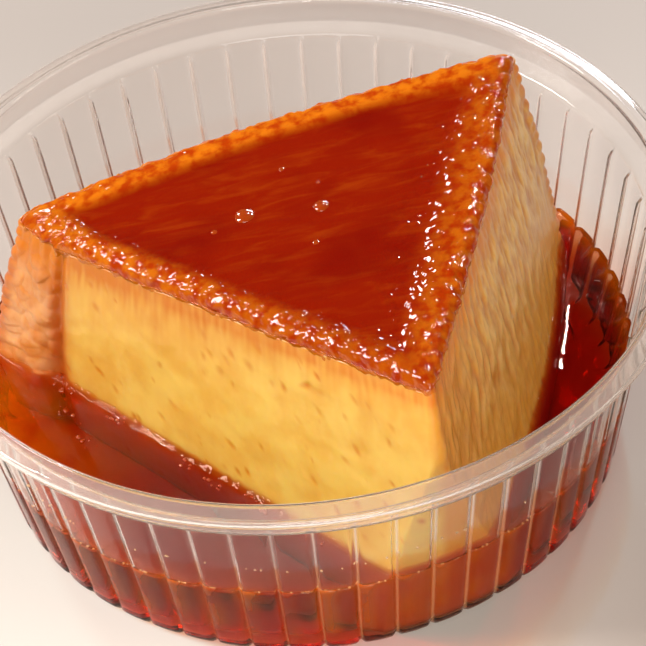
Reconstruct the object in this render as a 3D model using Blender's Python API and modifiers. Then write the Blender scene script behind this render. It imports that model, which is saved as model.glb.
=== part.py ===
"""Creme caramel flan: a wedge of set custard under its caramel skin, standing in a clear, fluted
plastic tub with caramel syrup pooled round its foot.

Metres, +Z up. The origin is the middle of the tub's underside, on the surface that it stands on.
The wedge's tip points along -Y, towards the viewer, and its broad moulded side faces +Y.
"""

import bmesh
import bpy
from math import atan2, cos, pi, sin, sqrt, tau
from mathutils import Vector

CLEARANCE = 0.0003  # between neighbours that touch in the real thing

# The tub: one sheet of clear plastic, given by its outer side
SHEET = 0.0006
FLUTES = 55
FLUTE_DEPTH = 0.0009
FLUTE_COLUMNS = (0.0, 0.13, 0.5, 0.87)  # where a flute has its points, as shares of its pitch
FLUTE_FALL = (1.0, 0.18, 0.0, 0.18)  # how deep each point lies, as a share of the depth
FLOOR_RADIUS = 0.0440  # the raised panel inside the foot ring
FLOOR_RAISE = 0.0010
FOOT_INNER_RADIUS = 0.0455
FOOT_OUTER_RADIUS = 0.0488
WALL_FOOT_RADIUS = 0.0499
WALL_FOOT_HEIGHT = 0.0012
WALL_TOP_RADIUS = 0.0563
LEDGE_HEIGHT = 0.0363
BAND_FOOT_RADIUS = 0.0597  # outer end of the ledge that the snap band stands on
BAND_TOP_RADIUS = 0.0584
BAND_TOP_HEIGHT = 0.0416
LIP_RADIUS = 0.0617
LIP_HEIGHT = 0.0405

# The syrup stands this high
SYRUP_LEVEL = 0.0156
SYRUP_BED = FLOOR_RAISE + SHEET + CLEARANCE
SYRUP_FILM = 0.0006  # what is left of it where the wedge is pressed to the wall

# The wedge: corners of its top edge and of its foot at the syrup's level, in plan
TOP_CORNERS = {
    "end_front": (-0.0358, 0.0006),
    "tip": (0.0177, -0.0486),
    "back_right": (0.0370, 0.0228),
    "end_back": (-0.0413, 0.0096),
}
FOOT_CORNERS = {
    "end_front": (-0.0395, 0.0004),
    "tip": (0.0184, -0.0580),
    "back_right": (0.0436, 0.0218),
    "end_back": (-0.0496, 0.0088),
}
TOP_BOWS = (0.0003, 0.0010, 0.0026, 0.0004)  # how far each side bows out between its corners
FOOT_BOWS = (0.0004, 0.0040, 0.0040, 0.0010)
SIDE_POINTS = (26, 22, 26, 8)
CORNER_PASSES = 1  # smoothing steps that round the corners
PRESS_CENTRE = Vector((0.0165, 0.0))  # the wall presses the foot back towards this place
TOP_AT_ORIGIN = 0.0506  # height of the sloping top over the origin
TOP_RISE_X = 0.1525  # the top climbs to the right
TOP_RISE_Y = -0.0257
LOFT_STEPS = 5  # bands between the syrup's level and the top
SIDE_SAG = 0.0006  # the cut sides swell this much at half height

# The caramel skin on top, with a lumpy raised rim
SKIN_THICKNESS = 0.0026
SKIN_OVERHANG = 0.0004
RIM_ROUND = 0.0007  # the rim's upper edge lies this far in from its widest ring
RIM_INSET = 0.0030
RIM_DIP = 0.0009  # the middle lies this much under the rim
LUMP_SPACING = 0.0046
LUMP_SIZE = 0.0005
RIM_STEP = 0.0012  # spacing of points round the skin's edge


def make_material(name, colour, roughness, alpha=1.0, transmission=0.0):
    """A Principled material in one linear colour."""
    material = bpy.data.materials.new(name)
    material.use_nodes = True
    shader = material.node_tree.nodes["Principled BSDF"]
    shader.inputs["Base Color"].default_value = (*colour, 1.0)
    shader.inputs["Roughness"].default_value = roughness
    shader.inputs["Metallic"].default_value = 0.0
    shader.inputs["Alpha"].default_value = alpha
    shader.inputs["Transmission Weight"].default_value = transmission
    return material


def new_object(name, mesh_builder, material, collection):
    """Turns a finished bmesh into a named object with its material."""
    mesh = bpy.data.meshes.new(name)
    mesh_builder.to_mesh(mesh)
    mesh_builder.free()
    mesh.materials.append(material)
    thing = bpy.data.objects.new(name, mesh)
    collection.objects.link(thing)
    return thing


def wall_radius(height):
    """Outer radius of the fluted wall at its crests."""
    share = (height - WALL_FOOT_HEIGHT) / (LEDGE_HEIGHT - WALL_FOOT_HEIGHT)
    share = max(0.0, share)
    return WALL_FOOT_RADIUS + (WALL_TOP_RADIUS - WALL_FOOT_RADIUS) * share


def flute_angles():
    """Angle and fall of every point round the wall, flute by flute."""
    return [
        (tau * (flute + column) / FLUTES, fall)
        for flute in range(FLUTES)
        for column, fall in zip(FLUTE_COLUMNS, FLUTE_FALL)
    ]


def rest_on_angles(ring, radius, height, depth):
    """Moves a ring of spun points onto the flutes' angles, each at its own fall."""
    for vertex, (angle, fall) in zip(ring, flute_angles()):
        reach = radius - depth * fall
        vertex.co = (reach * cos(angle), reach * sin(angle), height)


def fluted_disc(mesh_builder, radius, height, depth):
    """A flat disc whose rim follows the flutes. Returns the rim's points in order."""
    count = FLUTES * len(FLUTE_COLUMNS)
    made = bmesh.ops.create_circle(mesh_builder, cap_ends=True, segments=count, radius=radius)
    ring = sorted(made["verts"], key=lambda v: atan2(v.co.y, v.co.x) % tau)
    rest_on_angles(ring, radius, height, depth)
    return ring


def points_above(ring, fresh):
    """The new point that an extrusion made from each point of a ring, in the ring's order."""
    return [next(e.other_vert(v) for e in v.link_edges if e.other_vert(v) in fresh) for v in ring]


def make_tub(material, collection):
    """The tub: a disc for the floor, extruded outwards ring by ring, given its thickness."""
    rings = (
        (FOOT_INNER_RADIUS, 0.0, 0.0),
        (FOOT_OUTER_RADIUS, 0.0, FLUTE_DEPTH),
        (WALL_FOOT_RADIUS, WALL_FOOT_HEIGHT, FLUTE_DEPTH),
        (WALL_TOP_RADIUS, LEDGE_HEIGHT, FLUTE_DEPTH),
        (BAND_FOOT_RADIUS, LEDGE_HEIGHT, 0.0),
        (BAND_TOP_RADIUS, BAND_TOP_HEIGHT, 0.0),
        (LIP_RADIUS, LIP_HEIGHT, 0.0),
    )
    shell = bmesh.new()
    ring = fluted_disc(shell, FLOOR_RADIUS, FLOOR_RAISE, 0.0)
    edges = shell.edges[:]
    for radius, height, depth in rings:
        grown = bmesh.ops.extrude_edge_only(shell, edges=edges)["geom"]
        fresh = {item for item in grown if isinstance(item, bmesh.types.BMVert)}
        ring = points_above(ring, fresh)
        rest_on_angles(ring, radius, height, depth)
        edges = [edge for edge in shell.edges if fresh.issuperset(edge.verts)]
    bmesh.ops.recalc_face_normals(shell, faces=shell.faces)
    shell.faces.ensure_lookup_table()
    if shell.faces[0].normal.z > 0.0:
        bmesh.ops.reverse_faces(shell, faces=shell.faces)  # the floor's outer side looks down
    tub = new_object("tub", shell, material, collection)
    sheet = tub.modifiers.new("sheet", "SOLIDIFY")
    sheet.thickness = SHEET
    sheet.offset = -1.0
    sheet.use_even_offset = True
    tub.data.shade_smooth()
    tub.data.set_sharp_from_angle(angle=pi / 6)
    return tub


def bowed_outline(corners, bows):
    """Points round the wedge, from the end's front corner by the tip to the back."""
    names = list(corners)
    points = []
    for index, (name, bow, count) in enumerate(zip(names, bows, SIDE_POINTS)):
        start = Vector(corners[name])
        along = Vector(corners[names[(index + 1) % len(names)]]) - start
        outward = Vector((along.y, -along.x)).normalized()
        for step in range(count):
            share = step / count
            points.append(start + along * share + outward * bow * sin(pi * share))
    for _ in range(CORNER_PASSES):
        points = [
            (points[i - 1] + points[i] * 2.0 + points[(i + 1) % len(points)]) / 4.0
            for i in range(len(points))
        ]
    return points


def outward_directions(points):
    """The direction straight out of the outline at each of its points."""
    directions = []
    for index in range(len(points)):
        along = points[(index + 1) % len(points)] - points[index - 1]
        directions.append(Vector((along.y, -along.x)).normalized())
    return directions


def grown_outline(points, margin):
    """The same outline, moved outwards by a margin."""
    return [point + out * margin for point, out in zip(points, outward_directions(points))]


def held_in_tub(point, height, margin):
    """The soft foot is pressed flat where it meets the wall."""
    limit = wall_radius(height) - FLUTE_DEPTH - SHEET - CLEARANCE - SYRUP_FILM - CLEARANCE - margin
    if point.length <= limit:
        return point
    away = point - PRESS_CENTRE
    lean = PRESS_CENTRE.dot(away) / away.length_squared
    room = (limit**2 - PRESS_CENTRE.length_squared) / away.length_squared
    return PRESS_CENTRE + away * (sqrt(lean**2 + room) - lean)


def top_height(x, y):
    """The wedge has slumped, so its top slopes down to the left."""
    return TOP_AT_ORIGIN + TOP_RISE_X * x + TOP_RISE_Y * y


def wedge_section(share, margin, drop):
    """One ring of the wedge: share is 0 at the syrup's level and 1 at the top, drop below it."""
    foot = bowed_outline(FOOT_CORNERS, FOOT_BOWS)
    top = bowed_outline(TOP_CORNERS, TOP_BOWS)
    flat = [low.lerp(high, share) for low, high in zip(foot, top)]
    flat = grown_outline(flat, margin + SIDE_SAG * sin(pi * share))
    section = []
    for point in flat:
        height = SYRUP_LEVEL + (top_height(point.x, point.y) - drop - SYRUP_LEVEL) * share
        point = held_in_tub(point, height, -margin)
        section.append(Vector((point.x, point.y, height)))
    return section


def floor_section(height, margin):
    """The wedge's foot: the ring at the syrup's level, brought down to the tub's floor."""
    section = []
    for point in wedge_section(0.0, margin, 0.0):
        flat = held_in_tub(point.to_2d(), height, -margin)
        section.append(Vector((flat.x, flat.y, height)))
    return section


def loft(sections):
    """A disc for the first section, extruded through the others."""
    body = bmesh.new()
    made = bmesh.ops.create_circle(body, cap_ends=True, segments=len(sections[0]), radius=1.0)
    ring = made["verts"]
    cap = body.faces[:]
    for vertex, place in zip(ring, sections[0]):
        vertex.co = place
    for number, section in enumerate(sections[1:]):
        grown = bmesh.ops.extrude_face_region(body, geom=cap)
        fresh = {item for item in grown["geom"] if isinstance(item, bmesh.types.BMVert)}
        if number > 0:
            bmesh.ops.delete(body, geom=cap, context="FACES_ONLY")
        cap = [item for item in grown["geom"] if isinstance(item, bmesh.types.BMFace)]
        ring = points_above(ring, fresh)
        for vertex, place in zip(ring, section):
            vertex.co = place
    bmesh.ops.recalc_face_normals(body, faces=body.faces)
    return body, cap


def custard_sections():
    """All rings of the wedge from the tub's floor to under the caramel skin."""
    under_skin = SKIN_THICKNESS + CLEARANCE
    rings = [floor_section(SYRUP_BED, 0.0)]
    rings += [wedge_section(step / LOFT_STEPS, 0.0, under_skin) for step in range(LOFT_STEPS + 1)]
    return rings


def make_custard(material, collection):
    """The pale custard wedge."""
    body, _ = loft(custard_sections())
    custard = new_object("custard", body, material, collection)
    custard.data.shade_smooth()
    custard.data.set_sharp_from_angle(angle=pi / 5)
    return custard


def even_outline(points, spacing):
    """The closed outline with points at even steps along it."""
    lengths = [(points[(i + 1) % len(points)] - points[i]).length for i in range(len(points))]
    count = round(sum(lengths) / spacing)
    step = sum(lengths) / count
    spaced = []
    index, walked = 0, 0.0
    for number in range(count):
        target = number * step
        while walked + lengths[index] < target:
            walked += lengths[index]
            index += 1
        share = (target - walked) / lengths[index]
        spaced.append(points[index].lerp(points[(index + 1) % len(points)], share))
    return spaced


def lump(distance):
    """Height of the rim's lumps at a distance along it: two beats that never quite meet."""
    first = abs(sin(pi * distance / LUMP_SPACING))
    second = sin(tau * distance / (LUMP_SPACING * 2.7) + 0.8)
    return LUMP_SIZE * (first + 0.5 * second)


def skin_section(outline, margin, under_top, lumps):
    """One ring of the caramel skin, a depth under the wedge's sloping top. lumps is 0 or 1."""
    ring = []
    for number, (point, out) in enumerate(zip(outline, outward_directions(outline))):
        distance = number * RIM_STEP
        place = point + out * (margin + lumps * lump(distance))
        rise = lumps * lump(distance + RIM_STEP)
        ring.append(Vector((place.x, place.y, top_height(place.x, place.y) - under_top + rise)))
    return ring


def make_caramel_skin(material, collection):
    """The caramel skin: a slab as wide as the wedge, with a lumpy rim round a sunken middle."""
    outline = even_outline(bowed_outline(TOP_CORNERS, TOP_BOWS), RIM_STEP)
    under = skin_section(outline, SKIN_OVERHANG, SKIN_THICKNESS, 0.0)
    widest = skin_section(outline, SKIN_OVERHANG, SKIN_THICKNESS * 0.45, 1.0)
    over = skin_section(outline, SKIN_OVERHANG - RIM_ROUND, LUMP_SIZE, 1.0)
    body, cap = loft([under, widest, over])
    bmesh.ops.inset_region(body, faces=cap, thickness=RIM_INSET, use_even_offset=True)
    for vertex in cap[0].verts:
        vertex.co.z = top_height(vertex.co.x, vertex.co.y) - RIM_DIP
    skin = new_object("caramel_skin", body, material, collection)
    skin.data.shade_smooth()
    skin.data.set_sharp_from_angle(angle=pi / 4)
    return skin


def make_syrup(material, collection, cutters):
    """The pooled syrup: it fills the tub to its level, all round the wedge."""
    gap = SHEET + CLEARANCE
    pool = bmesh.new()
    ring = fluted_disc(pool, wall_radius(SYRUP_BED) - gap, SYRUP_BED, FLUTE_DEPTH)
    grown = bmesh.ops.extrude_face_region(pool, geom=pool.faces[:])
    fresh = {item for item in grown["geom"] if isinstance(item, bmesh.types.BMVert)}
    ring = points_above(ring, fresh)
    rest_on_angles(ring, wall_radius(SYRUP_LEVEL) - gap, SYRUP_LEVEL, FLUTE_DEPTH)
    bmesh.ops.recalc_face_normals(pool, faces=pool.faces)
    syrup = new_object("syrup", pool, material, collection)

    reach = 0.004  # how far the cutter passes the pool's two faces
    low = floor_section(SYRUP_BED, CLEARANCE)
    under = [Vector((p.x, p.y, SYRUP_BED - reach)) for p in low]
    level = wedge_section(0.0, CLEARANCE, 0.0)
    over = [Vector((p.x, p.y, SYRUP_LEVEL + reach)) for p in level]
    body, _ = loft([under, low, level, over])
    cutter = new_object("wedge_cutter", body, material, cutters)
    cutter.hide_render = True
    cutter.display_type = "WIRE"
    cut = syrup.modifiers.new("wedge", "BOOLEAN")
    cut.operation = "DIFFERENCE"
    cut.solver = "EXACT"
    cut.object = cutter
    return syrup


def build():
    """Clears the file and makes every piece."""
    for thing in list(bpy.data.objects):
        bpy.data.objects.remove(thing)
    flan = bpy.data.collections.new("creme_caramel_flan")
    cutters = bpy.data.collections.new("cutters")
    bpy.context.scene.collection.children.link(flan)
    bpy.context.scene.collection.children.link(cutters)

    clear_plastic = make_material("clear_plastic", (0.92, 0.91, 0.90), 0.05, 0.35, 0.9)
    custard_yellow = make_material("custard_yellow", (0.83, 0.55, 0.17), 0.35)
    caramel = make_material("caramel", (0.42, 0.08, 0.01), 0.12)
    syrup_brown = make_material("syrup_brown", (0.19, 0.02, 0.004), 0.05, 0.9)

    make_tub(clear_plastic, flan)
    make_custard(custard_yellow, flan)
    make_caramel_skin(caramel, flan)
    make_syrup(syrup_brown, flan, cutters)


build()
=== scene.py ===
"""Looks of the creme caramel flan in its clear tub.

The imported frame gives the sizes. Four pieces replace its nodes: the clear tub, the custard wedge, the
caramel on top and the syrup. Bubbles lie on the caramel, froth lies on the syrup, and drops hang inside
the front wall. Metres, +Z up; the wedge's tip points along -Y, towards the camera.
"""

import random
from math import atan2, cos, pi, sin, tau

import bmesh
import bpy
import numpy as np
from mathutils import Matrix, Vector, noise


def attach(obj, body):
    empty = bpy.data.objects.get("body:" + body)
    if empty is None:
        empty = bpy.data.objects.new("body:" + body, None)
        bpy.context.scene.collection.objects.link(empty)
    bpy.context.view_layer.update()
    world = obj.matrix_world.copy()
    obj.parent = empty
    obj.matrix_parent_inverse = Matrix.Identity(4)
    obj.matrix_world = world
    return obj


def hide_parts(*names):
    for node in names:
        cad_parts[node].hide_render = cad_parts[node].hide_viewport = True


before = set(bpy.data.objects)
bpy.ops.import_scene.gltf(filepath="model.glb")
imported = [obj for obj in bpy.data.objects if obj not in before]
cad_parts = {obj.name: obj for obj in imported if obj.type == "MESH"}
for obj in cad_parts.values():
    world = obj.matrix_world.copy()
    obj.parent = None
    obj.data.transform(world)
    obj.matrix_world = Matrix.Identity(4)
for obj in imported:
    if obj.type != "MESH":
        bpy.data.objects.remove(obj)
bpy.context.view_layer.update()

MM = 0.001

# The tub, by the outer side of its sheet, as in the part's source
SHEET = 0.45 * MM
FLUTES = 55
FLUTE_DEPTH = 0.9 * MM
GROOVE_WIDTH = 0.075  # spread of a groove, as a share of the pitch
PANEL_BULGE = 0.16  # how far the panels between the grooves bow out, as a share of the depth
FLUTE_COLUMNS = 12
COLUMN_CROWDING = 0.115  # how far the columns move towards the grooves, as a share of the pitch
FOLD_HIGHLIGHT = {0: 0.2, 1: 1.0, 11: 0.1}  # how much white haze paints a highlight on a groove's columns: one side catches the light
FLOOR_RADIUS = 44.0 * MM
FLOOR_RAISE = 1.0 * MM
FOOT_INNER_RADIUS = 45.5 * MM
FOOT_OUTER_RADIUS = 48.8 * MM
WALL_FOOT_RADIUS = 49.9 * MM
WALL_FOOT_HEIGHT = 1.2 * MM
WALL_TOP_RADIUS = 56.3 * MM
LEDGE_HEIGHT = 36.3 * MM
FLUTES_END = 34.6 * MM
FLUTES_START = (46.9 * MM, 48.4 * MM)  # the radii between which the flutes fade in on the foot ring
BAND_FOOT_RADIUS = 59.7 * MM
BAND_TOP_RADIUS = 58.4 * MM
BAND_TOP_HEIGHT = 41.9 * MM
LIP_RADIUS = 61.6 * MM
LIP_HEIGHT = 40.9 * MM

# The wedge's outline at the syrup's level and at its top: end's front, tip, back right, end's back
SYRUP_LEVEL = 15.6 * MM
FOOT_CORNERS = ((-0.0395, 0.0004), (0.0184, -0.0580), (0.0436, 0.0218), (-0.0496, 0.0088))
TOP_CORNERS = ((-0.0358, 0.0006), (0.0177, -0.0486), (0.0370, 0.0228), (-0.0413, 0.0096))
FOOT_BOWS = (0.0004, 0.0040, 0.0040, 0.0010)
TOP_BOWS = (0.0003, 0.0010, 0.0026, 0.0004)
CUT, RIGHT, BACK, END = range(4)  # the wedge's sides, in the outline's order
FRONT_LEFT, TIP, BACK_RIGHT, BACK_LEFT = range(4)  # the corners where they start
SIDE_COLUMNS = (220, 190, 160, 70)
CORNER_SOFTENING = 12  # rounds of smoothing of the outline, and then of what the sides differ in
SIDE_SOFTENING = 8
DIP_SOFTENING = 50
SIDE_SAG = 0.6 * MM
SHOULDER_IN = (2.1, 2.2, 1.5, 2.0)  # the caramel's rounded edge on each side, millimetres
SHOULDER_DOWN = (2.3, 1.8, 1.3, 1.7)
TOP_AT_ORIGIN = 50.6 * MM
TOP_RISE_X = 0.1525
TOP_RISE_Y = -0.0257
TOP_CENTRE = np.array((6.1 * MM, -7.1 * MM))  # equally far from the three long sides
TOP_INRADIUS = 22.0 * MM
WALL_GAP = 2.0 * MM  # from the crests' outer side to the custard that is pressed to the wall
PRESS_CENTRE = np.array((16.5 * MM, 0.0))  # the wall presses the foot back towards this place

# The caramel on top
RIM_OVERHANG = 0.28 * MM  # its edge stands out this far from the custard
EDGE_HIDDEN = 0.3 * MM  # its runs end this deep inside the custard
RIM_BELOW = 0.3 * MM  # without its lumps, the rim lies this far under the top's plane
POOL_DEPTH = 0.7 * MM  # and the pool's middle this far under the rim

# Bubbles on the caramel, froth and drops
LARGE_BUBBLES = (  # x, y and radius, millimetres
    (-6.8, -2.9, 1.7), (5.0, -4.5, 1.35), (3.7, -12.8, 0.8), (-11.5, -5.4, 0.9), (-0.5, 6.4, 0.6),
)
BUBBLES = 70
BUBBLES_BELOW = 1.1 * MM  # their middles lie this far under the top's plane, just in the pool
FROTH_STRINGS = (  # the foot's column in the middle of a string, and millimetres out from there
    (6, 0.5), (40, 0.5), (84, 0.7), (100, 1.2), (118, 0.6), (148, 0.5), (20, 4.5), (35, 7.0),
)
WALL_DROPS = 150

# The syrup
TIDE_LINE = SYRUP_LEVEL + 7.0 * MM  # the syrup has left a film on the wall up to here
SYRUP_REACH = 0.25 * MM  # it ends this deep inside the tub's sheet, measured from outside
SYRUP_HIDDEN = 1.3 * MM  # its inner edge is hidden this deep in the wedge, deeper than the relief
SYRUP_CLIMB = 1.1 * MM  # it is drawn up this far at the wall and at the wedge

# Refraction: a low index, so that the thin wall and the syrup hide little of what is behind them
WALL_INDEX = 1.15
RIM_INDEX = 1.42
SYRUP_INDEX = 1.27
SYRUP_DEPTH = 480.0  # how fast the syrup takes up light, per metre: red-brown within millimetres

# How a share climbs between two values
SMOOTH = {"interpolation_type": "SMOOTHSTEP"}

LAMP_AIM = Vector((0.0, 0.0, 0.03))
LAMPS = (  # name, place, width, depth, watts, colour
    ("key", (-0.62, 0.06, 0.50), 0.22, 0.22, 4.3, "#FFF8F2"),
    ("spark", (-0.50, 0.08, 0.70), 0.06, 0.06, 1.6, "#FFFFFF"),
    ("fill", (-0.12, -0.75, 0.75), 0.7, 0.5, 3.4, "#FFFAF6"),
    ("low", (0.02, -0.85, 0.22), 0.4, 0.2, 3.5, "#FFF8F0"),
    ("right", (0.80, -0.30, 0.24), 0.4, 0.3, 2.1, "#FFF3E6"),
    ("side_spark", (0.40, 0.62, 0.60), 0.06, 0.08, 1.4, "#FFFFFF"),
    ("back", (-0.45, 0.75, 0.50), 0.14, 0.12, 1.7, "#FFF9F2"),
    ("glint", (0.16, 0.62, 0.62), 0.04, 0.04, 1.0, "#FFFFFF"),
    ("window", (0.25, 0.90, 0.28), 0.35, 0.12, 2.4, "#EEF3FF"),
)

ROOT = "root"


def linear(hex_colour):
    """An sRGB hex colour as the linear colour that the shaders take."""
    channels = [int(hex_colour[i:i + 2], 16) / 255 for i in (1, 3, 5)]
    return (*[c / 12.92 if c <= 0.04045 else ((c + 0.055) / 1.055) ** 2.4 for c in channels], 1.0)


def add_node(tree, kind, settings):
    """Adds a shader node; a setting is a property, an input's value or a link, as (node, output)."""
    node = tree.nodes.new("ShaderNode" + kind)
    for key, value in settings.items():
        if isinstance(value, tuple) and isinstance(value[0], bpy.types.Node):
            tree.links.new(value[0].outputs[value[1]], node.inputs[key])
        elif isinstance(key, int) or key in node.inputs.keys():
            node.inputs[key].default_value = value
        else:
            setattr(node, key, value)
    return node


def new_material(name):
    """An empty node material and its tree."""
    material = bpy.data.materials.new(name)
    material.use_nodes = True
    material.node_tree.nodes.clear()
    return material, material.node_tree


def pattern(tree, size, detail=3.0, stretch=(1.0, 1.0, 1.0), distortion=0.0, between=None):
    """A noise whose blotches are about this size in metres. With between, it is a share that climbs
    smoothly from 0 to 1 while the noise goes from the one value to the other."""
    place = add_node(tree, "TexCoord", {})
    scaled = add_node(tree, "Mapping", {"Scale": stretch, "Vector": (place, "Object")})
    milky_glow = add_node(tree, "TexNoise", {
        "Scale": 1.0 / size, "Detail": detail, "Distortion": distortion, "Vector": (scaled, 0),
    })
    if between is None:
        return milky_glow, "Fac"
    low, high = between
    climb = {"Value": (milky_glow, "Fac"), "From Min": low, "From Max": high}
    return add_node(tree, "MapRange", SMOOTH | climb), 0


def share_along(tree, axis, low, high):
    """A share that climbs smoothly from 0 to 1 between two places along an axis, in metres."""
    place = add_node(tree, "TexCoord", {})
    split = add_node(tree, "SeparateXYZ", {"Vector": (place, "Object")})
    climb = {"Value": (split, axis), "From Min": low, "From Max": high}
    return add_node(tree, "MapRange", SMOOTH | climb), 0


def layered(tree, base, *layers):
    """A colour with others laid over it in turn. A colour is an sRGB hex value or an output, and
    each layer comes with its share, an output or the name of one of the piece's masks."""
    colour = linear(base)
    for over, share in layers:
        if isinstance(share, str):
            share = add_node(tree, "Attribute", {"attribute_name": share}), "Fac"
        over = linear(over) if isinstance(over, str) else over
        colour = add_node(tree, "Mix", {"data_type": "RGBA", 0: share, 6: colour, 7: over}), 2
    return colour


def lit_through(tree, surface, tint):
    """A clear surface that lamps shine through, with a tint."""
    clear = add_node(tree, "BsdfTransparent", {"Color": linear(tint)})
    light = add_node(tree, "LightPath", {})
    share = (light, "Is Shadow Ray")
    return add_node(tree, "MixShader", {0: share, 1: (surface, 0), 2: (clear, 0)}), 0


def thermoformed_pet():
    """Clear PET sheet, drawn over a polished mould: the thick rim glints and the thin wall shows less.
    A faint haze greys the wall, amber where syrup has left a film. More haze at the back is painted
    light that lightens the back wall, and white haze on one side of each fold is a painted highlight."""
    material, tree = new_material("thermoformed_pet_clear")
    ripple = pattern(tree, 9 * MM, 2.0)
    bump = add_node(tree, "Bump", {"Strength": 0.05, "Distance": 0.3 * MM, "Height": ripple})
    wall, rim = [add_node(tree, "BsdfPrincipled", {
        "Base Color": linear("#FEFCFB"), "Roughness": 0.02, "IOR": index, "Transmission Weight": 1.0,
        "Normal": (bump, 0),
    }) for index in (WALL_INDEX, RIM_INDEX)]
    on_rim = share_along(tree, "Z", LEDGE_HEIGHT - 0.8 * MM, LEDGE_HEIGHT - 0.2 * MM)
    filmed = share_along(tree, "Z", TIDE_LINE + 1 * MM, TIDE_LINE - 1 * MM)
    film = layered(tree, "#F4E6DC", ("#F0AE80", filmed))
    milky = add_node(tree, "BsdfPrincipled", {"Roughness": 0.35, "Base Color": film})
    above_syrup = share_along(tree, "Z", SYRUP_LEVEL + 1 * MM, SYRUP_LEVEL + 5 * MM)
    # more haze at the back lightens the back wall: painted light
    at_back = share_along(tree, "Y", 15 * MM, 45 * MM)
    # white haze on one side of each groove: a painted highlight
    fold = add_node(tree, "Attribute", {"attribute_name": "fold"})
    haze = add_node(tree, "Math", {"operation": "MULTIPLY", 0: above_syrup, 1: 0.04})
    for share, weight in ((on_rim, 0.03), (at_back, 0.05), ((fold, "Fac"), 0.35)):
        settings = {"operation": "MULTIPLY_ADD", 0: share, 1: weight, 2: (haze, 0)}
        haze = add_node(tree, "Math", settings)
    sheet = add_node(tree, "MixShader", {0: on_rim, 1: (wall, 0), 2: (rim, 0)})
    sheet = add_node(tree, "MixShader", {0: (haze, 0), 1: (sheet, 0), 2: (milky, 0)})
    add_node(tree, "OutputMaterial", {"Surface": lit_through(tree, sheet, "#FDFCFB")})
    return material


def set_custard():
    """Egg and milk custard, set by steaming: moist, waxy and translucent, with small ochre pits on the
    cut, orange threads where it is torn, a browner moulded skin, and caramel soaked in at its edges.
    Darker orange at the wedge's corners is painted shade, and the deeper gold by the tip is partly a
    painted glow of light through the thin edge."""
    material, tree = new_material("set_custard")
    thread = pattern(tree, 1.1 * MM, stretch=(1.0, 1.0, 0.18))
    in_thread = {"Value": thread, "From Min": 0.45, "From Max": 0.8}
    in_thread = add_node(tree, "MapRange", SMOOTH | in_thread), 0
    fibre = layered(
        tree, "#ECBA66", ("#CC8020", "fibre"), ("#DE9C34", in_thread), ("#E08E0C", "golden"),
    )
    skin = layered(tree, "#EFB073", ("#DC8430", pattern(tree, 3.6 * MM, between=(0.3, 0.75))))
    # the darker orange at the corners is painted shade, and the deep gold by the tip is partly a
    # painted glow
    colour = layered(
        tree, "#F4C95F", ("#EBB349", pattern(tree, 7 * MM, between=(0.35, 0.7))), ("#D67C06", "pit"),
        (fibre, "torn"), (skin, "skin"), ("#BC5004", "crease"), ("#D87A0A", "stain"),
        ("#B04505", "soak"),
    )
    grain = pattern(tree, 0.9 * MM, 4.0)  # the real grain is finer; it is drawn so coarse to show
    torn = add_node(tree, "Attribute", {"attribute_name": "torn"})
    rough = add_node(tree, "Math", {"operation": "MULTIPLY", 0: thread, 1: (torn, "Fac")})
    rough = add_node(tree, "Math", {"operation": "MULTIPLY_ADD", 0: (rough, 0), 1: 0.8, 2: grain})
    bump = add_node(tree, "Bump", {"Strength": 0.3, "Distance": 0.12 * MM, "Height": (rough, 0)})
    custard = add_node(tree, "BsdfPrincipled", {
        "Roughness": 0.38, "IOR": 1.40, "Subsurface Weight": 0.55, "Subsurface Scale": 2.0 * MM,
        "Subsurface Radius": (1.0, 0.45, 0.12), "Coat Weight": 0.25, "Coat Roughness": 0.12,
        "Base Color": colour, "Normal": (bump, 0),
    })
    add_node(tree, "OutputMaterial", {"Surface": (custard, 0)})
    return material


def wet_caramel():
    """Sugar caramel that has drawn water from the custard: a deep red-brown, glassy wet skin, more
    orange where it is thin and mottled orange on its lumpy rim."""
    material, tree = new_material("wet_caramel")
    streak = pattern(tree, 9 * MM, 4.0, (1.0, 4.0, 1.0), 0.6, between=(0.42, 0.85))
    deep = pattern(tree, 16 * MM, 2.0, between=(0.45, 0.75))
    blob = pattern(tree, 2.0 * MM, between=(0.35, 0.68))
    rim = layered(tree, "#D8740F", ("#B43A02", blob))
    colour = layered(
        tree, "#8A1500", ("#9C3203", streak), ("#7C0900", deep), (rim, "rim"), ("#D87A0A", "thin"),
    )
    on_lumps = add_node(tree, "Attribute", {"attribute_name": "rough"})
    grain = pattern(tree, 1.2 * MM, 2.0)
    grain = add_node(tree, "Math", {"operation": "MULTIPLY", 0: grain, 1: (on_lumps, "Fac")})
    bump = add_node(tree, "Bump", {"Strength": 0.6, "Distance": 0.25 * MM, "Height": (grain, 0)})
    caramel = add_node(tree, "BsdfPrincipled", {
        "Roughness": 0.3, "Specular IOR Level": 0.0, "Subsurface Weight": 0.2,
        "Subsurface Scale": 1.5 * MM, "Subsurface Radius": (1.0, 0.3, 0.05), "Coat Weight": 1.0,
        "Coat Roughness": 0.03, "Coat IOR": 1.42, "Base Color": colour, "Normal": (bump, 0),
    })
    add_node(tree, "OutputMaterial", {"Surface": (caramel, 0)})
    return material


def caramel_blister():
    """A bubble's thin caramel skin: amber, wet and lighter than the pool round it."""
    material, tree = new_material("caramel_blister")
    blister = add_node(tree, "BsdfPrincipled", {
        "Base Color": linear("#A63A06"), "Roughness": 0.12, "Subsurface Weight": 0.3,
        "Subsurface Scale": 0.6 * MM, "Coat Weight": 1.0, "Coat Roughness": 0.02, "Coat IOR": 1.5,
    })
    add_node(tree, "OutputMaterial", {"Surface": (blister, 0)})
    return material


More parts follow.
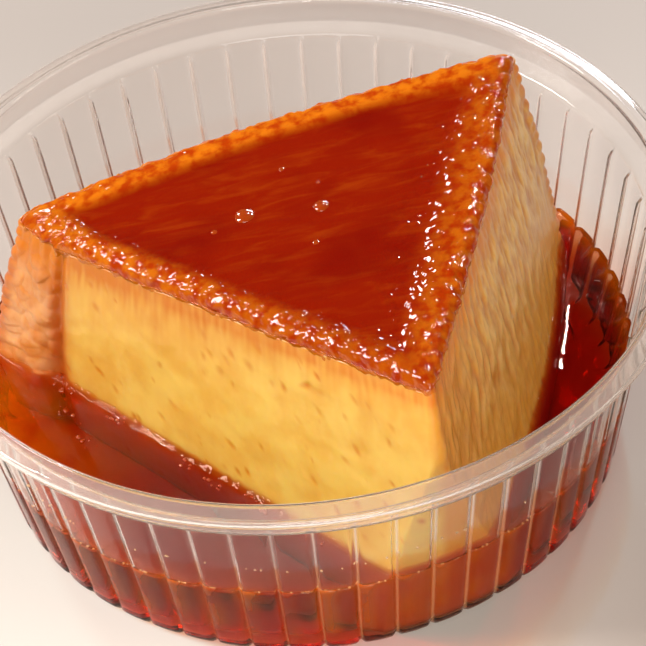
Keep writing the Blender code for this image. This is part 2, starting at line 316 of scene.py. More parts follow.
def clear_drop():
    """A bead of thin caramel water that clings to the wall, with a bright glint. Its pale amber is
    painted
    light: it stands in for the light that the clear bead catches.
    """
    material, tree = new_material("drop_painted_pale")
    drop = add_node(tree, "BsdfPrincipled", {
        "Base Color": linear("#E9BE8C"), "Roughness": 0.08, "Coat Weight": 1.0, "Coat Roughness": 0.02,
    })
    add_node(tree, "OutputMaterial", {"Surface": (drop, 0)})
    return material


def caramel_syrup():
    """Thin caramel syrup: clear, so its colour deepens with its depth, and amber by the wall: partly a
    slight milkiness, partly painted light that stands in for light focused through the wall.
    """
    material, tree = new_material("caramel_syrup")
    liquid = add_node(tree, "BsdfPrincipled", {
        "Base Color": linear("#FFF4E6"), "Roughness": 0.0, "IOR": SYRUP_INDEX,
        "Transmission Weight": 1.0, "Specular Tint": linear("#F8DCC4"),
    })
    swirl = pattern(tree, 6 * MM, between=(0.35, 0.7))
    # a lit amber: partly the syrup's slight milkiness, partly painted light
    milky_glow = add_node(tree, "BsdfPrincipled", {
        "Base Color": layered(tree, "#E06C04", ("#C03E00", swirl)), "Roughness": 0.1,
        "Specular IOR Level": 0.1,
    })
    cloud = add_node(tree, "Attribute", {"attribute_name": "cloud"})
    syrup = add_node(tree, "MixShader", {0: (cloud, "Fac"), 1: (liquid, 0), 2: (milky_glow, 0)})
    depth = add_node(tree, "VolumeAbsorption", {"Color": linear("#F6C500"), "Density": SYRUP_DEPTH})
    surface = lit_through(tree, syrup, "#FFF4E6")
    add_node(tree, "OutputMaterial", {"Surface": surface, "Volume": (depth, 0)})
    return material


def pale_table():
    """Matt pale table top, with painted shade: greyer towards the back and a painted brown shadow in
    front at the right.
    """
    material, tree = new_material("pale_table_top")
    to_back = share_along(tree, "Y", -90 * MM, 120 * MM)
    to_right = share_along(tree, "X", 0.0, 90 * MM)
    to_front = share_along(tree, "Y", 50 * MM, -50 * MM)
    painted_shadow = add_node(tree, "Math", {"operation": "MULTIPLY", 0: to_right, 1: to_front}), 0
    # painted shade: greyer towards the back, and a painted shadow in front at the right
    colour = layered(tree, "#FBF4EC", ("#B3AAA3", to_back), ("#A48A78", painted_shadow))
    top = add_node(tree, "BsdfPrincipled", {"Roughness": 0.6, "Base Color": colour})
    add_node(tree, "OutputMaterial", {"Surface": (top, 0)})
    return material


def show(name, builder, material, slot, *nodes):
    """Turns a finished bmesh into a shown piece that rides with the tub."""
    mesh = bpy.data.meshes.new(name)
    builder.to_mesh(mesh)
    builder.free()
    mesh.materials.append(material)
    mesh.shade_smooth()
    piece = bpy.data.objects.new(name, mesh)
    bpy.context.scene.collection.objects.link(piece)
    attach(piece, ROOT)
    if nodes:
        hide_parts(*nodes)
    return piece


def sleeve(rings, masks=None):
    """A cylinder cut into rings, each point moved to its place; masks are float attributes."""
    rows, columns = rings.shape[:2]
    body = bmesh.new()
    bmesh.ops.create_cone(body, segments=columns, radius1=1.0, radius2=1.0, depth=float(rows - 1))
    upright = [e for e in body.edges if abs(e.verts[0].co.z - e.verts[1].co.z) > 0.5]
    bmesh.ops.subdivide_edges(body, edges=upright, cuts=rows - 2)
    layers = {name: body.verts.layers.float.new(name) for name in (masks or {})}
    for vertex in body.verts:
        row = round(vertex.co.z + (rows - 1) / 2)
        column = round(atan2(vertex.co.y, vertex.co.x) / tau * columns) % columns
        vertex.co = rings[row, column]
        for name, layer in layers.items():
            vertex[layer] = float(masks[name][row, column])
    return body


def smooth_step(value, low, high):
    """0 below low, 1 above high and a smooth climb between them."""
    share = np.clip((value - low) / (high - low), 0.0, 1.0)
    return share * share * (3.0 - 2.0 * share)


def wall_radius(height):
    """Outer radius of the fluted wall at its crests."""
    share = np.maximum(0.0, (height - WALL_FOOT_HEIGHT) / (LEDGE_HEIGHT - WALL_FOOT_HEIGHT))
    return WALL_FOOT_RADIUS + (WALL_TOP_RADIUS - WALL_FOOT_RADIUS) * share


def groove(share):
    """How deep the wall lies at a share of a flute's pitch: a narrow groove between bowed panels."""
    from_groove = np.minimum(share, 1.0 - share)
    bulge = PANEL_BULGE * (1.0 - np.sin(pi * share))
    return np.exp(-((from_groove / GROOVE_WIDTH) ** 2)) * (1.0 - PANEL_BULGE) + bulge


def flute_share(step):
    """Columns crowd at the grooves: the share of the pitch where an even step from 0 to 1 lands."""
    return step - COLUMN_CROWDING * np.sin(tau * step)


def tub_angles():
    """Angle and groove depth of each of the wall's columns."""
    number = np.arange(FLUTES * FLUTE_COLUMNS)
    share = flute_share((number % FLUTE_COLUMNS) / FLUTE_COLUMNS)
    return tau * (number // FLUTE_COLUMNS + share) / FLUTES, FLUTE_DEPTH * groove(share)


def tub_profile():
    """The outer side of the tub from its middle to its lip, with rounded bends, as a wire."""
    corners = (
        (0.0, FLOOR_RAISE), (FLOOR_RADIUS, FLOOR_RAISE), (FOOT_INNER_RADIUS, 0.0),
        (FOOT_OUTER_RADIUS, 0.0), (WALL_FOOT_RADIUS, WALL_FOOT_HEIGHT),
        (float(wall_radius(FLUTES_END)), FLUTES_END), (WALL_TOP_RADIUS, LEDGE_HEIGHT),
        (BAND_FOOT_RADIUS, LEDGE_HEIGHT), (BAND_TOP_RADIUS, BAND_TOP_HEIGHT), (LIP_RADIUS, LIP_HEIGHT),
        (LIP_RADIUS - 0.5 * MM, LIP_HEIGHT - 0.9 * MM),
    )
    bends = (0.0, 0.4, 0.4, 0.5, 0.5, 0.0, 0.6, 0.7, 0.9, 0.5, 0.0)
    wire = bmesh.new()
    points = [wire.verts.new((radius, 0.0, height)) for radius, height in corners]
    for low, high in zip(points, points[1:]):
        wire.edges.new((low, high))
    for point, bend in zip(points, bends):
        if bend:
            bmesh.ops.bevel(
                wire, geom=[point], offset=bend * MM, offset_type="OFFSET", segments=4,
                profile=0.5, affect="VERTICES", material=-1,
            )
    long_edges = [edge for edge in wire.edges if edge.calc_length() > 20 * MM]
    wall = [edge for edge in long_edges if edge.verts[0].co.x > FOOT_INNER_RADIUS]
    bmesh.ops.subdivide_edges(wire, edges=wall, cuts=7)
    return wire


def make_tub(material):
    """The clear tub: its profile spun round, the wall pressed into flutes, then given its sheet. The
    mask "fold" paints a highlight, as white haze, on the side of each groove that catches the light."""
    shell = tub_profile()
    columns = FLUTES * FLUTE_COLUMNS
    bmesh.ops.spin(
        shell, geom=shell.verts[:] + shell.edges[:], angle=tau, steps=columns, axis=(0, 0, 1),
        cent=(0, 0, 0), use_merge=True,
    )
    bmesh.ops.remove_doubles(shell, verts=shell.verts, dist=0.02 * MM)
    angles, falls = tub_angles()
    fold = shell.verts.layers.float.new("fold")
    for vertex in shell.verts:
        radius, height = vertex.co.xy.length, vertex.co.z
        column = round(atan2(vertex.co.y, vertex.co.x) / tau * columns) % columns
        on_foot = smooth_step(radius, *FLUTES_START)
        share = on_foot * (1.0 - smooth_step(height, FLUTES_END, LEDGE_HEIGHT - 0.4 * MM))
        radius -= falls[column] * share
        in_syrup = 1.0 - smooth_step(height, SYRUP_LEVEL + 1.0 * MM, SYRUP_LEVEL + 4.0 * MM)
        at_back = smooth_step(vertex.co.y, 0.0, 20.0 * MM)
        # painted highlight: white haze on one side of each groove, fainter under the syrup at the back
        glow = share * FOLD_HIGHLIGHT.get(column % FLUTE_COLUMNS, 0.0)
        vertex[fold] = glow * (1.0 - 0.85 * in_syrup * at_back)
        vertex.co.xy = (radius * cos(angles[column]), radius * sin(angles[column]))
    bmesh.ops.recalc_face_normals(shell, faces=shell.faces)
    floor = min(shell.faces, key=lambda face: face.calc_center_median().xy.length)
    if floor.normal.z > 0.0:
        bmesh.ops.reverse_faces(shell, faces=shell.faces)
    tub = show("clear_tub", shell, material, "clear_plastic", "tub")
    sheet = tub.modifiers.new("sheet", "SOLIDIFY")
    sheet.thickness = SHEET
    sheet.offset = -1.0
    sheet.use_even_offset = False
    return tub


def wedge_outline(corners, bows):
    """Points round the wedge, from the end's front corner by the tip to the back."""
    stretches = []
    for index, count in enumerate(SIDE_COLUMNS):
        start = np.array(corners[index])
        along = np.array(corners[(index + 1) % len(corners)]) - start
        outward = np.array((along[1], -along[0])) / np.hypot(*along)
        share = (np.arange(count) / count)[:, None]
        stretches.append(start + along * share + outward * bows[index] * np.sin(pi * share))
    outline = np.concatenate(stretches)
    for _ in range(CORNER_SOFTENING):
        outline = (np.roll(outline, 1, axis=0) + 2 * outline + np.roll(outline, -1, axis=0)) / 4
    return outline


def outward_of(outline):
    """The direction straight out of the outline at each of its points."""
    along = np.roll(outline, -1, axis=0) - np.roll(outline, 1, axis=0)
    out = np.stack((along[:, 1], -along[:, 0]), axis=1)
    return out / np.linalg.norm(out, axis=1)[:, None]


FOOT = wedge_outline(FOOT_CORNERS, FOOT_BOWS)
TOP = wedge_outline(TOP_CORNERS, TOP_BOWS)
COLUMNS = len(TOP)


def side_weights():
    """How much of each side's character every column has: 1 inside a side, blended at the corners."""
    number = np.repeat(np.arange(4), SIDE_COLUMNS)
    weights = np.stack([number == side for side in range(4)], axis=1).astype(float)
    for _ in range(SIDE_SOFTENING):
        weights = (np.roll(weights, 1, axis=0) + 2 * weights + np.roll(weights, -1, axis=0)) / 4
    return weights


WEIGHTS = side_weights()
ALONG = np.cumsum(np.linalg.norm(np.diff(TOP, axis=0, prepend=TOP[-1:]), axis=1))


def by_side(cut, right, back, end):
    """A length that differs from side to side and blends at the corners, from millimetres."""
    return WEIGHTS @ np.array((cut, right, back, end)) * MM


def near_corner(corner, reach):
    """1 at one of the outline's corners, falling to nothing over about twice the reach."""
    away = np.abs(ALONG - ALONG[sum(SIDE_COLUMNS[:corner])])
    away = np.minimum(away, ALONG[-1] - away)
    return np.exp(-((away / reach) ** 2))


def ragged(width, y, z):
    """An uneven height for each column, whose waves along the outline are about this wide."""
    return np.array([noise.fractal(Vector((a / width, y, z)), 0.7, 2.0, 3) for a in ALONG])


def streaks(height):
    """Fine upright streaks at every column's height."""
    return np.array([
        noise.noise(Vector((a / (0.8 * MM), h / (5 * MM), 2.0))) for a, h in zip(ALONG, height)
    ])


def top_height(x, y):
    """The wedge has slumped, so its top slopes down to the left."""
    return TOP_AT_ORIGIN + TOP_RISE_X * x + TOP_RISE_Y * y


def bare_side(share):
    """A ring of the wedge without its relief; share, one number or one a column, is 0 at the
    syrup's level and 1 at the top."""
    share = np.broadcast_to(share, (COLUMNS,))
    flat = FOOT + (TOP - FOOT) * share[:, None]
    flat = flat + outward_of(flat) * (SIDE_SAG * np.sin(pi * np.clip(share, 0.0, 1.0)))[:, None]
    height = SYRUP_LEVEL + (top_height(flat[:, 0], flat[:, 1]) - SYRUP_LEVEL) * share
    return flat, height


def held_in_tub(flat, height):
    """The soft foot is pressed flat where it meets the wall."""
    limit = wall_radius(height) - WALL_GAP
    away = flat - PRESS_CENTRE
    squared = (away**2).sum(axis=1)
    lean = away @ PRESS_CENTRE / squared
    room = (limit**2 - PRESS_CENTRE @ PRESS_CENTRE) / squared
    return PRESS_CENTRE + away * np.minimum(1.0, np.sqrt(lean**2 + room) - lean)[:, None]


def cells(x, y, z=0.5):
    """Distance to the nearest scattered point of a grid of unit cells, and that cell's own draw."""
    distances, points = noise.voronoi(Vector((x, y, z)))
    return distances[0], noise.cell(points[0] * 7.3)


def side_relief(column, height):
    """How far the surface stands out at one point of the sides, and its masks."""
    along = ALONG[column]
    cut, right, back, end = WEIGHTS[column]
    a, h = along / MM, height / MM
    lift = 0.28 * noise.noise(Vector((a / 13, h / 13, 3.1)))  # all lengths in millimetres
    lift += 0.09 * noise.noise(Vector((a / 3.1, h / 3.1, 8.2)))
    pit = fibre = 0.0
    if cut > 0.01:  # a smooth cut with small and large pits
        wander = noise.noise(Vector((a / 5.0, h / 5.0, 12.0)))
        near, draw = cells(a / 2.6 + h / 7.0 + 0.5 * wander, h / 3.4)
        small = max(0.0, 1.0 - near / (0.20 + 0.18 * draw)) if draw > -0.3 else 0.0
        near, draw = cells(a / 8.4 + h / 19.0 + wander, h / 9.0)
        large = max(0.0, 1.0 - near / 0.12) if draw > 0.2 else 0.0
        pit = cut * min(1.0, (1.0 + 0.4 * draw) * small + large)
        lift -= cut * (0.10 * small + 0.16 * large)
        lift += cut * 0.05 * noise.noise(Vector((a / 0.9, h / 2.2, 1.0)))
    if right > 0.01:  # torn: slanting strands, gaps between them and crumbs
        wander = 1.3 * noise.noise(Vector((a / 9.0, h / 12.0, 14.0)))
        strand = noise.fractal(Vector((a / 1.7 + wander, h / 8.0, 6.0)), 0.6, 2.2, 4)
        gap = noise.noise(Vector((a / 2.0 + wander, h / 3.6, 9.0)))
        crumb = noise.noise(Vector((a / 0.9, h / 1.6, 7.0)))
        high = smooth_step(h, 24.0, 46.0)  # the strands show near the top and fade towards the foot
        lift += right * ((0.10 + 0.16 * high) * strand + (0.07 + 0.10 * high) * gap + 0.05 * crumb)
        fibre = 0.45 - (0.3 + 0.9 * high) * strand - (0.2 + 0.7 * high) * gap - 0.3 * crumb
        fibre = min(1.0, max(0.0, fibre))
    if end > 0.01:  # the narrow end: coarse cobbles in upright folds
        wander = noise.noise(Vector((a / 3.0, h / 4.0, 17.0)))
        near, draw = cells(a / 2.5 + 0.5 * wander, h / 2.6 + 0.4 * wander, 0.3)
        lift += end * (0.50 + 0.30 * draw) * max(0.0, 0.8 - near * near)
        lift += end * 0.45 * noise.noise(Vector((a / 1.7, h / 8.0, 4.4)))
    if back > 0.01:  # moulded: upright ripples with low cobbles
        wander = noise.noise(Vector((a / 8.0, h / 9.0, 21.0)))
        near, draw = cells(a / 3.3 + 0.9 * wander, h / 4.1 + 0.7 * wander, 0.3)
        lift += back * 0.22 * sin(tau * (a / 4.6 + 0.25 * wander))
        lift += back * (0.22 + 0.16 * draw) * max(0.0, 0.8 - near * near)
    return lift * MM, pit, fibre


def make_custard(material):
    """The custard wedge: rings from the tub's floor to under the caramel, with relief on each side."""
    below, above = 14, 108
    bed = FLOOR_RAISE + SHEET
    rings = np.zeros((below + above, COLUMNS, 3))
    names = ("pit", "fibre", "torn", "golden", "skin", "crease", "stain", "soak")
    masks = {name: np.zeros((below + above, COLUMNS)) for name in names}
    edge_depth = by_side(*SHOULDER_DOWN) + 0.5 * MM
    top_share = 1.0 - edge_depth / (top_height(TOP[:, 0], TOP[:, 1]) - SYRUP_LEVEL)
    leftness = near_corner(FRONT_LEFT, 38 * MM)
    drip = np.clip(ragged(4.5 * MM, 0.0, 5.0), -0.6, 1.5)
    stain_reach = (1.6 + 3.2 * leftness + 2.2 * drip) * MM
    for row in range(below + above):
        if row < below:
            flat, _ = bare_side(0.0)
            height = np.full(COLUMNS, bed + (SYRUP_LEVEL - bed) * row / below)
        else:
            flat, height = bare_side(top_share * (row - below) / (above - 3))
        depth = top_height(flat[:, 0], flat[:, 1]) - height
        out = outward_of(flat)
        relief = np.array([side_relief(column, height[column]) for column in range(COLUMNS)])
        lifts, masks["pit"][row], masks["fibre"][row] = relief.T
        lifts = lifts - 0.8 * MM * near_corner(FRONT_LEFT, 1.0 * MM)  # a crease
        scallop = np.abs(np.sin(pi * height / (2.3 * MM) + 0.8 * np.sin(height / (2.1 * MM))))
        lifts += 0.75 * MM * scallop * near_corner(BACK_RIGHT, 1.5 * MM)
        lifts += 0.6 * MM * scallop * near_corner(BACK_LEFT, 1.5 * MM)
        flat = held_in_tub(flat + out * lifts[:, None], height)
        rings[row, :, :2] = flat
        rings[row, :, 2] = height
        # caramel has run down from the top, further at the left, and the syrup soaks in at the foot
        stain = np.exp(-np.maximum(0.0, depth - 4.6 * MM) / np.maximum(stain_reach, 0.5 * MM))
        stain = (0.7 + 0.3 * leftness) * stain * (1.0 + 0.5 * streaks(height))
        masks["stain"][row] = np.clip(stain, 0.0, 1.0)
        masks["soak"][row] = 0.8 * np.exp(-np.maximum(0.0, height - SYRUP_LEVEL) / (0.9 * MM))
        masks["torn"][row] = WEIGHTS[:, RIGHT]
        # by the tip, a painted glow of light through the thin edge; lower down, the custard's own
        # deeper colour
        masks["golden"][row] = 0.75 * near_corner(TIP, 19.0 * MM)
        masks["golden"][row] += 0.25 * (1.0 - smooth_step(height, 22 * MM, 34 * MM))
        masks["skin"][row] = WEIGHTS[:, END] + WEIGHTS[:, BACK]
        # painted shade: darker orange at the wedge's corners
        masks["crease"][row] = np.clip(
            0.9 * near_corner(FRONT_LEFT, 2.0 * MM) + 0.8 * near_corner(BACK_LEFT, 1.6 * MM)
            + 0.55 * near_corner(BACK_RIGHT, 1.8 * MM), 0.0, 1.0,
        )
    edge = rings[-3, :, :2].copy()  # the last rings turn in and stay under the pool
    for row, inset, drop in ((-2, 1.6 * MM, 3.2 * MM), (-1, 3.4 * MM, 3.6 * MM)):
        rings[row, :, :2] = TOP_CENTRE + (edge - TOP_CENTRE) * (1.0 - inset / TOP_INRADIUS)
        rings[row, :, 2] = top_height(rings[row, :, 0], rings[row, :, 1]) - drop
    body = sleeve(rings, masks)
    bmesh.ops.holes_fill(body, edges=body.edges, sides=0)
    bmesh.ops.recalc_face_normals(body, faces=body.faces)
    return show("custard_wedge", body, material, "custard", "custard")


def lumps(place):
    """How far a place on the rim swells, in millimetres: blobs, small knobs and beads."""
    x, y, z = place / MM
    near, draw = cells(x / 3.4, y / 3.4, z / 3.4)
    swell = 0.9 * max(0.0, 0.5 - near * near) * (0.5 + 0.5 * draw)
    near, draw = cells(x / 1.5, y / 1.5, z / 1.5 + 2.5)
    swell += 0.75 * max(0.0, 0.4 - near * near) * (0.6 + 0.4 * draw)
    return swell + 0.16 * noise.noise(Vector((x / 0.7, y / 0.7, z / 0.7))) - 0.2


def surface_normals(rings):
    """The direction out of a sleeve's surface at each of its points."""
    round_it = np.roll(rings, -1, axis=1) - np.roll(rings, 1, axis=1)
    normals = np.cross(round_it, np.gradient(rings, axis=0))
    return normals / np.maximum(np.linalg.norm(normals, axis=2), 1e-12)[:, :, None]


def make_caramel(material):
    """The caramel: runs down the sides, a lumpy rim and a glassy pool that dips inside it."""
    shoulder_in, shoulder_down = by_side(*SHOULDER_IN), by_side(*SHOULDER_DOWN)
    flat_width, slope_width = by_side(0.5, 1.6, 1.8, 0.8), by_side(2.4, 5.0, 1.6, 1.8)
    dip = by_side(0.30, 0.65, 0.65, 0.6)
    for _ in range(DIP_SOFTENING):  # no crease may run from a corner across the pool
        dip, slope_width = [
            (np.roll(value, 4) + 2 * value + np.roll(value, -4)) / 4 for value in (dip, slope_width)
        ]
    orange = by_side(0.4, 0.6, 1.0, 0.8) / MM
    orange = orange + 0.5 * WEIGHTS[:, CUT] * near_corner(FRONT_LEFT, 34 * MM)
    run = np.clip(ragged(4.2 * MM, 2.0, 0.0), -0.7, 2.0)
    run_depth = shoulder_down + (1.4 + 1.3 * run) * MM
    full = top_height(TOP[:, 0], TOP[:, 1]) - SYRUP_LEVEL
    side_rows, bend_rows, rim_rows, pool_rows = 12, 14, 28, 70
    rings, rim, thin, lumpy = [], [], [], []

    def add_ring(flat, height, redness, thinness, lumpiness):
        """Keeps one ring of points and its masks."""
        rings.append(np.column_stack((flat, height)))
        for kept, value in ((rim, redness), (thin, thinness), (lumpy, lumpiness)):
            kept.append(np.broadcast_to(value, (COLUMNS,)))

    for step in range(-1, side_rows):
        share = max(0, step) / (side_rows - 1)
        depth = run_depth + (shoulder_down - run_depth) * share
        flat, height = bare_side(1.0 - depth / full)
        lift = np.array([side_relief(c, height[c])[0] for c in range(COLUMNS)])
        thickness = (RIM_OVERHANG + EDGE_HIDDEN) * share**0.8 - EDGE_HIDDEN if step >= 0 else -1.2 * MM
        flat = flat + outward_of(flat) * (lift + thickness)[:, None]
        add_ring(flat, height, orange, 0.9 - 0.5 * share, share)
    widest = flat
    calm_edge = bare_side(1.0 - shoulder_down / full)[0] + outward_of(flat) * RIM_OVERHANG
    last_inset = shoulder_in + flat_width + slope_width
    for step in range(bend_rows + rim_rows + pool_rows):
        if step < bend_rows:  # over the shoulder, a quarter of an ellipse
            turn = (step + 1) / bend_rows * pi / 2
            inset = shoulder_in * (1.0 - cos(turn))
            rise = shoulder_down * (sin(turn) - 1.0)
        elif step < bend_rows + rim_rows:
            share = (step + 1 - bend_rows) / rim_rows
            inset = shoulder_in + share * (last_inset - shoulder_in)
            rise = -dip * smooth_step(inset, shoulder_in + flat_width, last_inset)
        else:
            share = (step + 1 - bend_rows - rim_rows) / pool_rows
            inset = last_inset + (TOP_INRADIUS - last_inset) * share
            rise = -dip + (dip - POOL_DEPTH) * share
        settled = smooth_step(inset, 0.3 * MM, 2.6 * MM)[:, None]
        edge = widest + (calm_edge - widest) * settled
        flat = TOP_CENTRE + (edge - TOP_CENTRE) * (1.0 - inset / TOP_INRADIUS)[:, None]
        height = top_height(flat[:, 0], flat[:, 1]) + rise - RIM_BELOW
        from_rim = inset - shoulder_in - flat_width
        on_rim = 1.0 - smooth_step(from_rim, -0.4 * slope_width, slope_width)
        beyond = 1.0 - smooth_step(from_rim, slope_width, slope_width + by_side(1.0, 7.0, 0.4, 1.5))
        calm = 1.0 - 0.55 * WEIGHTS[:, BACK] * smooth_step(inset, 0.4 * MM, 1.4 * MM)
        add_ring(flat, height, on_rim * orange, 0.0, np.maximum(on_rim, 0.5 * beyond) * calm)
    rings = np.array(rings)
    normals = surface_normals(rings)
    swell = np.zeros(rings.shape[:2])
    for row, column in np.ndindex(swell.shape):
        x, y, _ = rings[row, column] / MM
        swell[row, column] = 0.05 * noise.noise(Vector((x / 6.0, y / 1.4, 1.0)))
        if lumpy[row][column] > 0.0:
            swell[row, column] += lumpy[row][column] * lumps(rings[row, column])
    rings += normals * swell[:, :, None] * MM
    rings[-1] = rings[-1].mean(axis=0)
    body = sleeve(rings, {"rim": np.array(rim), "thin": np.array(thin), "rough": np.array(lumpy)})
    bmesh.ops.remove_doubles(body, verts=body.verts, dist=0.002 * MM)
    bmesh.ops.holes_fill(body, edges=body.edges, sides=0)
    bmesh.ops.recalc_face_normals(body, faces=body.faces)
    return show("caramel_top", body, material, "caramel", "caramel_skin")


def reach_by_angle(flat, angles):
    """How far an outline round the origin reaches at each angle."""
    own = np.arctan2(flat[:, 1], flat[:, 0]) % tau
    order = np.argsort(own)
    own, reach = own[order], np.linalg.norm(flat, axis=1)[order]
    return np.interp(angles, own, reach, period=tau)


def make_syrup(material):
    """The syrup: a ring of liquid between the wedge and the wall, drawn up a little at both."""
    angles, falls = tub_angles()
    count = len(angles)
    bed_rows, wall_rows, top_rows, inner_rows = 10, 14, 38, 6
    foot, _ = bare_side(0.0)
    held = held_in_tub(foot, np.full(COLUMNS, SYRUP_LEVEL))
    level_reach = reach_by_angle(held, angles) - SYRUP_HIDDEN
    low_held = held_in_tub(foot, np.full(COLUMNS, FLOOR_RAISE + SHEET))
    bed_reach = reach_by_angle(low_held, angles) - SYRUP_HIDDEN
    edge = np.stack((level_reach * np.cos(angles) / MM, level_reach * np.sin(angles) / MM), axis=1)
    broken = SYRUP_CLIMB * np.array([  # the height of the uneven wet line on the wedge
        0.9 + 0.6 * noise.noise(Vector((x / 1.8, y / 1.8, 4.0))) for x, y in edge
    ])
    rows = []
    for step in range(bed_rows):
        share = step / bed_rows
        radius = bed_reach + (FOOT_OUTER_RADIUS - 0.4 * MM - bed_reach) * share
        drop = smooth_step(radius, FLOOR_RADIUS, FOOT_INNER_RADIUS)
        height = FLOOR_RAISE * (1.0 - drop) + SYRUP_REACH
        rows.append((radius - falls * smooth_step(radius, *FLUTES_START), height))
    for step in range(wall_rows):
        share = step / (wall_rows - 1)
        height = SYRUP_REACH + (SYRUP_LEVEL + SYRUP_CLIMB - SYRUP_REACH) * share
        corner = 0.6 * MM * (1.0 - smooth_step(height, 0.0, WALL_FOOT_HEIGHT))
        rows.append((wall_radius(height) - SYRUP_REACH - corner - falls, np.full(count, height)))
    wall_reach = rows[-1][0]
    for step in range(1, top_rows):
        share = 0.5 - 0.5 * cos(pi * step / top_rows)
        radius = wall_reach + (level_reach - wall_reach) * share
        from_wall = wall_reach - radius - SYRUP_REACH
        from_wedge = radius - level_reach - SYRUP_HIDDEN - 0.2 * MM
        rise = SYRUP_CLIMB * np.exp(-np.maximum(from_wall, 0.0) / (0.6 * MM))
        rise = rise + broken * np.exp(-np.maximum(from_wedge, 0.0) / (0.5 * MM))
        rows.append((radius, SYRUP_LEVEL + np.minimum(rise, SYRUP_CLIMB * 1.2)))
    top_edge = rows[-1][1]
    for step in range(inner_rows):
        share = step / inner_rows
        radius = level_reach + (bed_reach - level_reach) * share
        rows.append((radius, top_edge + (FLOOR_RAISE + SYRUP_REACH - top_edge) * share))
    rows.append(rows[0])
    rings = np.zeros((len(rows), count, 3))
    cloud = np.zeros((len(rows), count))
    to_left = smooth_step(-np.cos(angles), 0.55, 0.95)
    # amber by the wall, partly milky syrup and partly painted light; less at the right, and more in the
    # grooves than in the panels
    by_wall = 0.46 - 0.24 * smooth_step(np.cos(angles), -0.1, 0.7)
    by_wall = by_wall * (0.8 + 0.5 * np.cos(angles * FLUTES - 1.2))
    for row, (radius, height) in enumerate(rows):
        rings[row, :, 0] = radius * np.cos(angles)
        rings[row, :, 1] = radius * np.sin(angles)
        rings[row, :, 2] = height
        if bed_rows <= row < bed_rows + wall_rows:
            cloud[row] = by_wall * smooth_step(height, 2.5 * MM, 6.0 * MM)
            cloud[row] += 0.2 * smooth_step(height, SYRUP_LEVEL - 0.5 * MM, SYRUP_LEVEL + 0.5 * MM)
        elif bed_rows <= row < bed_rows + wall_rows + top_rows:
            cloud[row] = 0.6 * to_left * np.exp(-((wall_reach - radius) / (10 * MM)))
            cloud[row] += (0.45 - cloud[row]) * np.exp(-(((wall_reach - radius) / (1.7 * MM)) ** 2))
    body = sleeve(rings, {"cloud": cloud})
    bmesh.ops.remove_doubles(body, verts=body.verts, dist=0.001 * MM)
    bmesh.ops.recalc_face_normals(body, faces=body.faces)
    return show("syrup_pool", body, material, "syrup", "syrup")


def add_beads(body, places, squash, rounds):
    """Adds one small rounded bead at each (place, radius) of the list."""
    for place, radius in places:
        bead = bmesh.ops.create_icosphere(body, subdivisions=rounds, radius=radius)["verts"]
        for vertex in bead:
            vertex.co *= 1.0 + 0.10 * noise.noise(vertex.co / (1.4 * radius) + place / MM)
            vertex.co.z *= squash
            vertex.co += place


def depth_inside(x, y):
    """How far a place in millimetres lies inside the top's outline, by chords of 20 columns."""
    depths = []
    for index in range(30, COLUMNS, 30):
        start = TOP[index - 25]
        chord = TOP[index - 5] - start
        away = np.array((x, y)) * MM - start
        depths.append((chord[0] * away[1] - chord[1] * away[0]) / np.linalg.norm(chord))
    return min(depths)


def make_bubbles(material):
    """Blisters on the caramel: two large ones, three smaller and many tiny, crowded to the right."""
    draw = random.Random(5)
    places = list(LARGE_BUBBLES)
    while len(places) < BUBBLES:
        x, y = draw.uniform(-28, 33), draw.uniform(-34, 18)
        wanted = 0.35 + 0.65 * smooth_step(x, 5.0, 22.0)
        if depth_inside(x, y) > 4.5 * MM and draw.random() < wanted:
            places.append((x, y, draw.uniform(0.14, 0.36)))
    body = bmesh.new()
    add_beads(body, [
        (Vector((x * MM, y * MM, top_height(x * MM, y * MM) - BUBBLES_BELOW)), radius * MM)
        for x, y, radius in places
    ], 0.4, 3)
    return show("caramel_bubbles", body, material, "caramel")


def make_froth(material):
    """Froth on the syrup, in short strings along the wedge's foot and by the left wall."""
    draw = random.Random(11)
    foot = held_in_tub(FOOT, np.full(COLUMNS, SYRUP_LEVEL))
    places = []
    for column, away in FROTH_STRINGS:
        for _ in range(7):
            near = min(COLUMNS - 1, max(0, column + draw.randint(-7, 7)))
            spot = foot[near] + outward_of(foot)[near] * (away + draw.uniform(0.0, 1.8)) * MM
            if np.hypot(*spot) < wall_radius(SYRUP_LEVEL) - 1.6 * MM:
                places.append((Vector((*spot, SYRUP_LEVEL + 0.1 * MM)), draw.uniform(0.12, 0.38) * MM))
    body = bmesh.new()
    add_beads(body, places, 0.7, 2)
    return show("syrup_froth", body, material, "syrup")


def make_drops(material):
    """Beads of thin syrup inside the front wall, at the level and on the tide line above it."""
    draw = random.Random(3)
    places = []
    for _ in range(WALL_DROPS):
        angle = tau * draw.uniform(0.52, 0.86)
        on_tide = draw.random() < 0.35
        height = TIDE_LINE + 0.8 * MM * sin(9 * angle) if on_tide else SYRUP_LEVEL + 0.9 * MM
        share = angle / tau * FLUTES % 1.0
        radius = wall_radius(height) - SHEET - FLUTE_DEPTH * float(groove(share)) - 0.05 * MM
        place = Vector((radius * cos(angle), radius * sin(angle), height))
        places.append((place, draw.uniform(0.12, 0.24) * MM))
    body = bmesh.new()
    add_beads(body, places, 1.0, 2)
    return show("wall_drops", body, material, "syrup")


def make_table(material):
    """The pale table that everything stands on."""
    builder = bmesh.new()
    bmesh.ops.create_grid(builder, x_segments=8, y_segments=8, size=2.0)
    mesh = bpy.data.meshes.new("table")
    builder.to_mesh(mesh)
    builder.free()
    mesh.materials.append(material)
    table = bpy.data.objects.new("table", mesh)
    table.location.z = -0.1 * MM  # so that the tub's foot and the table share no face
    bpy.context.scene.collection.objects.link(table)


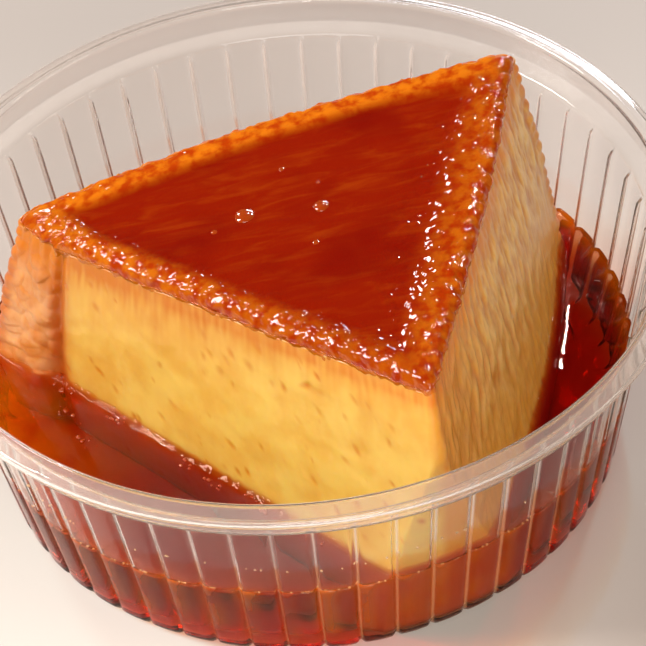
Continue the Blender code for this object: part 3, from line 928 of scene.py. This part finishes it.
def soft_lamp(name, place, width, depth, power, colour):
    """A rectangular lamp that looks at the middle of the tub."""
    light = bpy.data.lights.new(name, "AREA")
    light.shape = "RECTANGLE"
    light.size, light.size_y = width, depth
    light.energy = power
    light.color = linear(colour)[:3]
    lamp = bpy.data.objects.new(name, light)
    lamp.location = place
    lamp.rotation_euler = (LAMP_AIM - Vector(place)).to_track_quat("-Z", "Y").to_euler()
    bpy.context.scene.collection.objects.link(lamp)


def light_scene():
    """A key from the left, broad fills from the front and right, and small lamps that make glints."""
    for lamp in LAMPS:
        soft_lamp(*lamp)
    world = bpy.data.worlds.new("soft_room")
    world.use_nodes = True
    bpy.context.scene.world = world
    sky = world.node_tree.nodes["Background"]
    sky.inputs["Color"].default_value = linear("#E8C296")
    sky.inputs["Strength"].default_value = 0.14


def place_camera():
    """The camera at the photograph's angle: a long lens, looking down and a little rolled."""
    elevation, roll = 0.749402748, -0.102571
    distance, lens = 0.52268, 193.72
    aim = Vector((0.0033485, -0.0216894, 0.0422272))
    back = Vector((0.0, -cos(elevation), sin(elevation)))
    side = Vector((1.0, 0.0, 0.0))
    up = back.cross(side)
    rolled_side = side * cos(roll) + up * sin(roll)
    rolled_up = up * cos(roll) - side * sin(roll)
    turn = Matrix((rolled_side, rolled_up, back)).transposed().to_4x4()
    data = bpy.data.cameras.new("camera")
    data.lens = lens
    data.sensor_width = 36.0
    data.clip_start = 0.01
    camera = bpy.data.objects.new("camera", data)
    camera.matrix_world = Matrix.Translation(aim + back * distance) @ turn
    bpy.context.scene.collection.objects.link(camera)
    bpy.context.scene.camera = camera


def set_light_paths():
    """Enough bounces for light to cross the sheet and the syrup, and a plain view of the colours."""
    scene = bpy.context.scene
    scene.view_settings.view_transform = "Standard"
    scene.cycles.max_bounces = 16
    scene.cycles.transmission_bounces = 16
    scene.cycles.transparent_max_bounces = 24
    scene.cycles.caustics_reflective = False
    scene.cycles.caustics_refractive = False


place_camera()
set_light_paths()
light_scene()
make_table(pale_table())
make_tub(thermoformed_pet())
make_custard(set_custard())
make_caramel(wet_caramel())
make_syrup(caramel_syrup())
make_bubbles(caramel_blister())
make_froth(caramel_blister())
make_drops(clear_drop())
